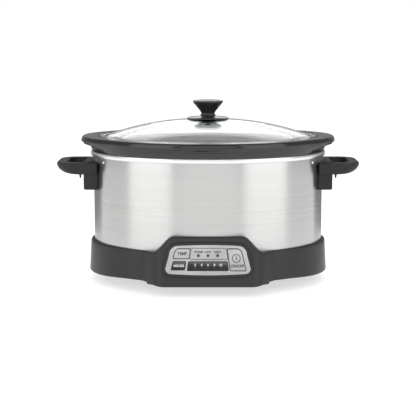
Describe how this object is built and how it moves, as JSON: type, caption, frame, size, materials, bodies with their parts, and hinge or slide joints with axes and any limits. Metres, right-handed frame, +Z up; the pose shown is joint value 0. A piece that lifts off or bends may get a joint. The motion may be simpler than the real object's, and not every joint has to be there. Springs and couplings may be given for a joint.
{
  "type": "slow cooker",
  "caption": "Oval slow cooker with a brushed steel shell, black base and loop handles, lift-out glazed crock, clear lid with a knob and a push-button timer panel.",
  "frame": {"origin": "on the surface it stands on, under the centre of the object's bounding box", "axes": "+X to the right handle when facing the control panel, -Y out of the control panel, +Z up"},
  "size_m": [0.386, 0.249, 0.231],
  "materials": {
    "black_plastic": "fine satin moulding",
    "knob_plastic": "semi-gloss phenolic",
    "brushed_steel": "fine brushing round the shell",
    "chrome": "bright",
    "polished_aluminium": "polished",
    "black_glaze": "glossy dark glaze",
    "clear_glass": "clear tempered",
    "rubber": "matte",
    "silver_plastic": "silver satin",
    "dark_window": "smoked gloss",
    "circuit_board": "solder mask",
    "lamp_red": "tinted lens",
    "zinc_steel": "zinc plated",
    "mineral_wool": "fibrous",
    "heater_foil": "foil over mica",
    "ceramic_block": "unglazed"
  },
  "bodies": {
    "housing": {"base_tray": "black_plastic", "base_cover": "black_plastic", "handle_left": "black_plastic", "handle_right": "black_plastic", "control_bezel": "black_plastic", "temp_switch": "knob_plastic", "hours_switch": "knob_plastic", "power_switch": "knob_plastic", "relay": "knob_plastic", "transformer": "knob_plastic", "outer_shell": "brushed_steel", "shell_rivet_left": "chrome", "shell_rivet_right": "chrome", "heating_liner": "polished_aluminium", "sensor_cup": "polished_aluminium", "foot_left_front": "rubber", "foot_left_rear": "rubber", "foot_right_front": "rubber", "foot_right_rear": "rubber", "cord_gland": "rubber", "panel_plate": "silver_plastic", "hours_window": "dark_window", "panel_board": "circuit_board", "power_board": "circuit_board", "led_warm": "lamp_red", "led_low": "lamp_red", "led_high": "lamp_red", "hour_led_2": "lamp_red", "hour_led_4": "lamp_red", "hour_led_6": "lamp_red", "hour_led_8": "lamp_red", "hour_led_10": "lamp_red", "heat_shield": "zinc_steel", "liner_stud": "zinc_steel", "liner_nut": "zinc_steel", "sensor_spring": "zinc_steel", "thermal_fuse": "zinc_steel", "cover_screw_1": "zinc_steel", "cover_screw_2": "zinc_steel", "cover_screw_3": "zinc_steel", "cover_screw_4": "zinc_steel", "handle_screw_left_front": "zinc_steel", "handle_screw_left_rear": "zinc_steel", "handle_screw_right_front": "zinc_steel", "handle_screw_right_rear": "zinc_steel", "insulation_blanket": "mineral_wool", "heater_band": "heater_foil", "terminal_block": "ceramic_block"},
    "crock": {"crock": "black_glaze"},
    "lid": {"lid_glass": "clear_glass", "lid_knob": "knob_plastic", "knob_skirt": "knob_plastic", "knob_gasket": "rubber", "knob_screw": "zinc_steel"},
    "temp_key": {"temp_button": "silver_plastic", "temp_switch_plunger": "knob_plastic"},
    "hours_key": {"hours_button": "dark_window", "hours_switch_plunger": "knob_plastic"},
    "power_key": {"power_button": "silver_plastic", "power_switch_plunger": "knob_plastic"}
  },
  "joints": [
    {"name": "crock_lift", "type": "slide", "parent": "housing", "child": "crock", "axis": [0, 0, 1], "range_m": [0, 0.16]},
    {"name": "lid_lift", "type": "slide", "parent": "crock", "child": "lid", "axis": [0, 0, 1], "range_m": [0, 0.09]},
    {"name": "temp_press", "type": "slide", "parent": "housing", "child": "temp_key", "axis": [0, 0.9848, -0.1736], "range_m": [0, 0.0005], "stiffness_N_per_m": 2000, "springref_m": -0.0003},
    {"name": "hours_press", "type": "slide", "parent": "housing", "child": "hours_key", "axis": [0, 0.9848, -0.1736], "range_m": [0, 0.0005], "stiffness_N_per_m": 2000, "springref_m": -0.0003},
    {"name": "power_press", "type": "slide", "parent": "housing", "child": "power_key", "axis": [0, 0.9848, -0.1736], "range_m": [0, 0.0005], "stiffness_N_per_m": 2000, "springref_m": -0.0003}
  ]
}
